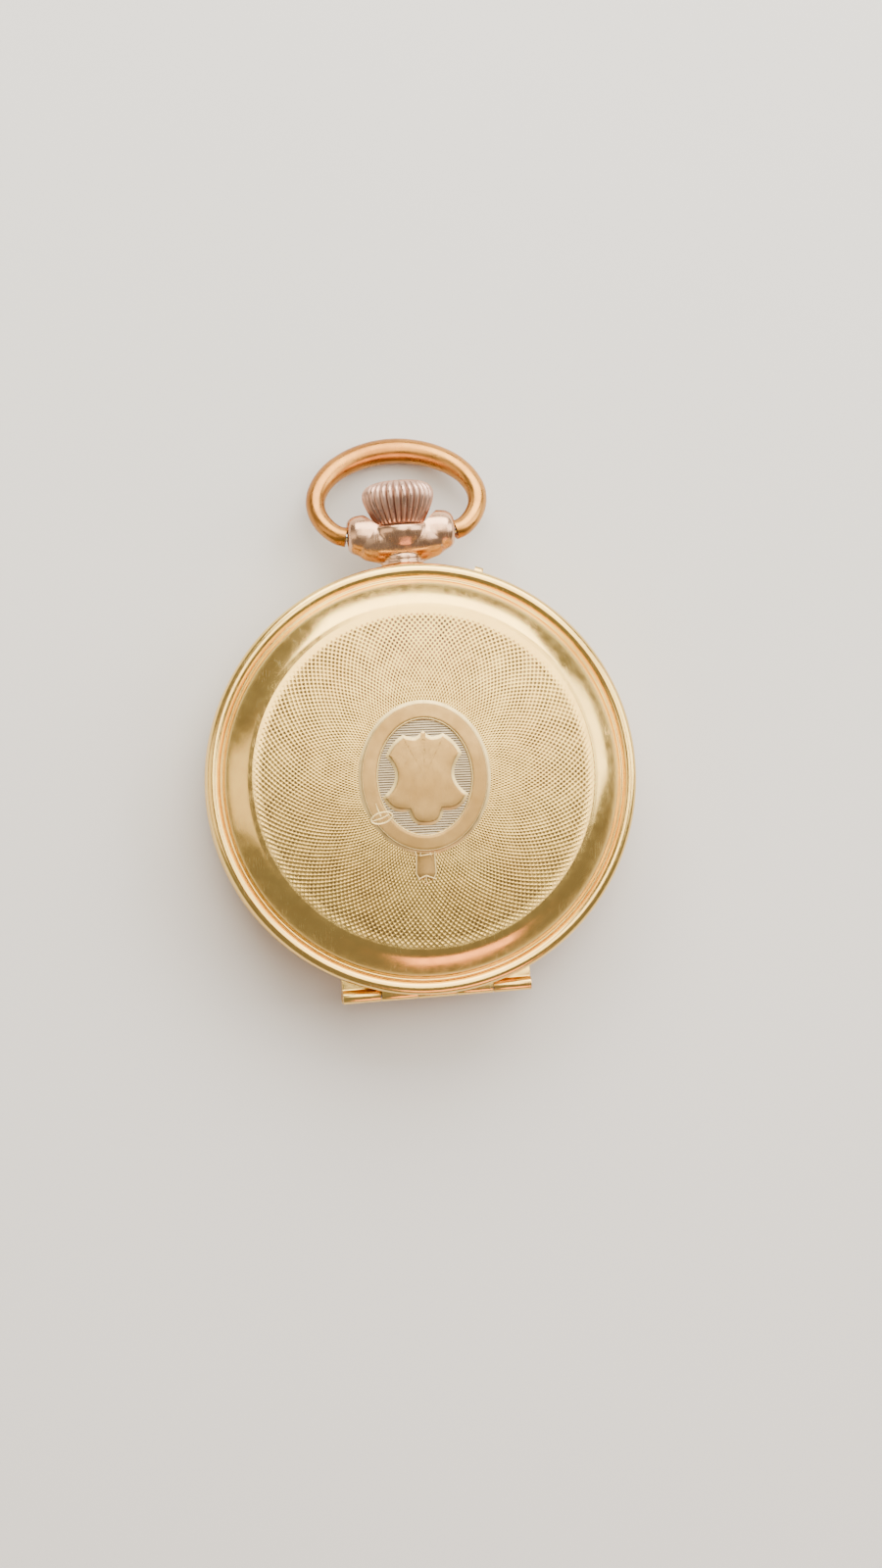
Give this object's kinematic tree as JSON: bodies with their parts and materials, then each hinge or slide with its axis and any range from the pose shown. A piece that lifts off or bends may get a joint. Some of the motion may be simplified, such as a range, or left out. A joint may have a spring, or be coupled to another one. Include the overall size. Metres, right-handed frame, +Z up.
{
  "type": "hunter pocket watch",
  "caption": "Gold hunter pocket watch with an engine-turned hinged front cover, garter cartouche, fluted crown and bow.",
  "frame": {"origin": "centre of the flat disc in the middle of the back cover, which the watch lies on", "axes": "+Z up through the front cover, +Y towards the pendant, crown and bow, +X to the right as the front is looked at"},
  "size_m": [0.05, 0.0661, 0.0146],
  "materials": {
    "case_band": "polished yellow gold",
    "bezel": "polished yellow gold",
    "crystal": "polished",
    "pendant": "worn rose gold",
    "front_hinge_pin": "polished steel",
    "back_hinge_pin": "polished steel",
    "fly_spring": "blued",
    "fly_spring_screw": "polished steel",
    "lock_spring_screw": "polished steel",
    "case_screw_a": "polished steel",
    "case_screw_b": "polished steel",
    "dial": "white enamel",
    "main_plate": "damaskeened nickel",
    "barrel_bridge": "damaskeened nickel",
    "train_bridge": "damaskeened nickel",
    "balance_cock": "damaskeened nickel",
    "pallet_cock": "damaskeened nickel",
    "barrel_bridge_screw": "blued",
    "train_bridge_screw": "blued",
    "balance_cock_screw": "blued",
    "cap_jewel": "polished ruby",
    "crown_wheel_screw": "polished steel",
    "click_screw": "blued",
    "click_spring": "blued",
    "hairspring": "blued",
    "front_cover": "polished yellow gold",
    "back_cover": "polished yellow gold",
    "cuvette": "polished yellow gold",
    "bow": "worn rose gold",
    "bow_pin_left": "polished steel",
    "bow_pin_right": "polished steel",
    "winding_pinion": "polished steel",
    "winding_stem": "polished steel",
    "crown": "worn rose gold",
    "clutch_wheel": "polished steel",
    "crown_wheel": "polished steel",
    "ratchet_wheel": "polished steel",
    "ratchet_screw": "polished steel",
    "barrel_arbor": "polished steel",
    "click": "polished steel",
    "center_wheel": "brushed",
    "cannon_pinion": "polished steel",
    "minute_hand": "blued",
    "mainspring_barrel": "brushed",
    "barrel_lid": "brushed",
    "mainspring": "blued",
    "third_wheel": "brushed",
    "fourth_wheel": "brushed",
    "seconds_hand": "blued",
    "escape_wheel": "polished steel",
    "pallet_fork": "polished steel",
    "balance_wheel": "brushed",
    "minute_wheel": "brushed",
    "hour_wheel": "brushed",
    "hour_hand": "blued",
    "setting_wheel": "polished steel",
    "setting_lever": "polished steel",
    "yoke": "polished steel",
    "lock_spring": "blued",
    "regulator": "polished steel"
  },
  "bodies": {
    "case": {"case_band": "case_band", "bezel": "bezel", "crystal": "crystal", "pendant": "pendant", "front_hinge_pin": "front_hinge_pin", "back_hinge_pin": "back_hinge_pin", "fly_spring": "fly_spring", "fly_spring_screw": "fly_spring_screw", "lock_spring_screw": "lock_spring_screw", "case_screw_a": "case_screw_a", "case_screw_b": "case_screw_b", "dial": "dial", "main_plate": "main_plate", "barrel_bridge": "barrel_bridge", "train_bridge": "train_bridge", "balance_cock": "balance_cock", "pallet_cock": "pallet_cock", "barrel_bridge_screw": "barrel_bridge_screw", "train_bridge_screw": "train_bridge_screw", "balance_cock_screw": "balance_cock_screw", "cap_jewel": "cap_jewel", "crown_wheel_screw": "crown_wheel_screw", "click_screw": "click_screw", "click_spring": "click_spring", "hairspring": "hairspring"},
    "front_cover": {"front_cover": "front_cover"},
    "back_cover": {"back_cover": "back_cover"},
    "cuvette": {"cuvette": "cuvette"},
    "bow": {"bow": "bow", "bow_pin_left": "bow_pin_left", "bow_pin_right": "bow_pin_right"},
    "winding_pinion": {"winding_pinion": "winding_pinion"},
    "winding_stem": {"winding_stem": "winding_stem"},
    "crown": {"crown": "crown"},
    "clutch_wheel": {"clutch_wheel": "clutch_wheel"},
    "crown_wheel": {"crown_wheel": "crown_wheel"},
    "ratchet": {"ratchet_wheel": "ratchet_wheel", "ratchet_screw": "ratchet_screw", "barrel_arbor": "barrel_arbor"},
    "click": {"click": "click"},
    "center_wheel": {"center_wheel": "center_wheel", "cannon_pinion": "cannon_pinion", "minute_hand": "minute_hand"},
    "barrel": {"mainspring_barrel": "mainspring_barrel", "barrel_lid": "barrel_lid", "mainspring": "mainspring"},
    "third_wheel": {"third_wheel": "third_wheel"},
    "fourth_wheel": {"fourth_wheel": "fourth_wheel", "seconds_hand": "seconds_hand"},
    "escape_wheel": {"escape_wheel": "escape_wheel"},
    "pallet_fork": {"pallet_fork": "pallet_fork"},
    "balance": {"balance_wheel": "balance_wheel"},
    "minute_wheel": {"minute_wheel": "minute_wheel"},
    "hour_wheel": {"hour_wheel": "hour_wheel", "hour_hand": "hour_hand"},
    "setting_wheel": {"setting_wheel": "setting_wheel"},
    "setting_lever": {"setting_lever": "setting_lever"},
    "yoke": {"yoke": "yoke"},
    "lock_spring": {"lock_spring": "lock_spring"},
    "regulator": {"regulator": "regulator"}
  },
  "joints": [
    {"name": "front_cover_hinge", "type": "hinge", "parent": "case", "child": "front_cover", "pos_m": [0, -0.0246, 0.0086], "axis": [1, 0, 0], "range_deg": [0, 100]},
    {"name": "back_cover_hinge", "type": "hinge", "parent": "case", "child": "back_cover", "pos_m": [0, -0.0246, 0.006], "axis": [-1, 0, 0], "range_deg": [0, 100]},
    {"name": "cuvette_hinge", "type": "hinge", "parent": "case", "child": "cuvette", "pos_m": [0, -0.0246, 0.006], "axis": [-1, 0, 0], "range_deg": [0, 90]},
    {"name": "bow_hinge", "type": "hinge", "parent": "case", "child": "bow", "pos_m": [0, 0.0289, 0.0073], "axis": [1, 0, 0], "range_deg": [-105.73, 164.27]},
    {"name": "crown_turn", "type": "hinge", "parent": "case", "child": "winding_pinion", "pos_m": [0, 0.0183, 0.0073], "axis": [0, 1, 0], "continuous": true},
    {"name": "stem_pull", "type": "slide", "parent": "winding_pinion", "child": "winding_stem", "axis": [0, 1, 0], "range_m": [0, 0.001]},
    {"name": "crown_press", "type": "slide", "parent": "winding_stem", "child": "crown", "axis": [0, 1, 0], "range_m": [-0.0006, 0], "stiffness_N_per_m": 20},
    {"name": "clutch_slide", "type": "slide", "parent": "winding_pinion", "child": "clutch_wheel", "axis": [0, 1, 0], "range_m": [-0.0006, 0]},
    {"name": "setting_lever_turn", "type": "hinge", "parent": "case", "child": "setting_lever", "pos_m": [0.0036, 0.01855, 0.0078], "axis": [0, 0, -1], "range_deg": [0, 16]},
    {"name": "yoke_turn", "type": "hinge", "parent": "case", "child": "yoke", "pos_m": [0.0052, 0.0165, 0.0078], "axis": [0, 0, 1], "range_deg": [0, 8.1]},
    {"name": "crown_wheel_turn", "type": "hinge", "parent": "case", "child": "crown_wheel", "pos_m": [0, 0.0151, 0.00265], "axis": [0, 0, 1], "continuous": true},
    {"name": "ratchet_turn", "type": "hinge", "parent": "case", "child": "ratchet", "pos_m": [-0.0057, 0.0055, 0.00265], "axis": [0, 0, 1], "continuous": true},
    {"name": "center_turn", "type": "hinge", "parent": "case", "child": "center_wheel", "pos_m": [0, 0, 0.004], "axis": [0, 0, -1], "continuous": true},
    {"name": "barrel_turn", "type": "hinge", "parent": "case", "child": "barrel", "pos_m": [-0.0057, 0.0055, 0.004], "axis": [0, 0, -1], "continuous": true},
    {"name": "third_turn", "type": "hinge", "parent": "case", "child": "third_wheel", "pos_m": [0.00578, -0.0025, 0.004], "axis": [0, 0, -1], "continuous": true},
    {"name": "fourth_turn", "type": "hinge", "parent": "case", "child": "fourth_wheel", "pos_m": [0.0108, 0, 0.004], "axis": [0, 0, -1], "continuous": true},
    {"name": "escape_turn", "type": "hinge", "parent": "case", "child": "escape_wheel", "pos_m": [0.01249, -0.00465, 0.004], "axis": [0, 0, -1], "continuous": true},
    {"name": "minute_wheel_turn", "type": "hinge", "parent": "case", "child": "minute_wheel", "pos_m": [0, 0.0036, 0.0078], "axis": [0, 0, -1], "continuous": true},
    {"name": "hour_turn", "type": "hinge", "parent": "case", "child": "hour_wheel", "pos_m": [0, 0, 0.0078], "axis": [0, 0, -1], "continuous": true},
    {"name": "setting_wheel_turn", "type": "hinge", "parent": "case", "child": "setting_wheel", "pos_m": [0, 0.00828, 0.0078], "axis": [0, 0, -1], "continuous": true},
    {"name": "pallet_fork_swing", "type": "hinge", "parent": "case", "child": "pallet_fork", "pos_m": [0.01093, -0.008, 0.00625], "axis": [0, 0, -1], "range_deg": [-5, 5]},
    {"name": "balance_swing", "type": "hinge", "parent": "case", "child": "balance", "pos_m": [0.00771, -0.0107, 0.004], "axis": [0, 0, -1], "range_deg": [-270, 270], "stiffness_Nm_per_rad": 0.000003},
    {"name": "click_turn", "type": "hinge", "parent": "case", "child": "click", "pos_m": [-0.0146, 0.0029, 0.00265], "axis": [0, 0, -1], "range_deg": [0, 12]},
    {"name": "lock_spring_flex", "type": "hinge", "parent": "case", "child": "lock_spring", "pos_m": [0.01693, 0.01421, 0.0073], "axis": [0, 0, 1], "range_deg": [0, 0.8], "stiffness_Nm_per_rad": 0.02},
    {"name": "regulator_turn", "type": "hinge", "parent": "case", "child": "regulator", "pos_m": [0.00771, -0.0107, 0.003], "axis": [0, 0, 1], "range_deg": [-10, 10]}
  ],
  "couplings": [
    {"joint": "cuvette_hinge", "follows": "back_cover_hinge", "ratio": 0.9},
    {"joint": "crown_wheel_turn", "follows": "crown_turn", "ratio": 0.38889},
    {"joint": "ratchet_turn", "follows": "crown_turn", "ratio": -0.20588},
    {"joint": "clutch_slide", "follows": "stem_pull", "ratio": -0.6},
    {"joint": "setting_lever_turn", "follows": "stem_pull", "rad_per_m": 277.78},
    {"joint": "yoke_turn", "follows": "stem_pull", "rad_per_m": 139.53},
    {"joint": "barrel_turn", "follows": "center_turn", "ratio": -0.14286},
    {"joint": "third_turn", "follows": "center_turn", "ratio": -8},
    {"joint": "fourth_turn", "follows": "center_turn", "ratio": 60},
    {"joint": "escape_turn", "follows": "center_turn", "ratio": -600},
    {"joint": "minute_wheel_turn", "follows": "center_turn", "ratio": -0.33333},
    {"joint": "hour_turn", "follows": "center_turn", "ratio": 0.083333},
    {"joint": "setting_wheel_turn", "follows": "center_turn", "ratio": 0.45455}
  ]
}
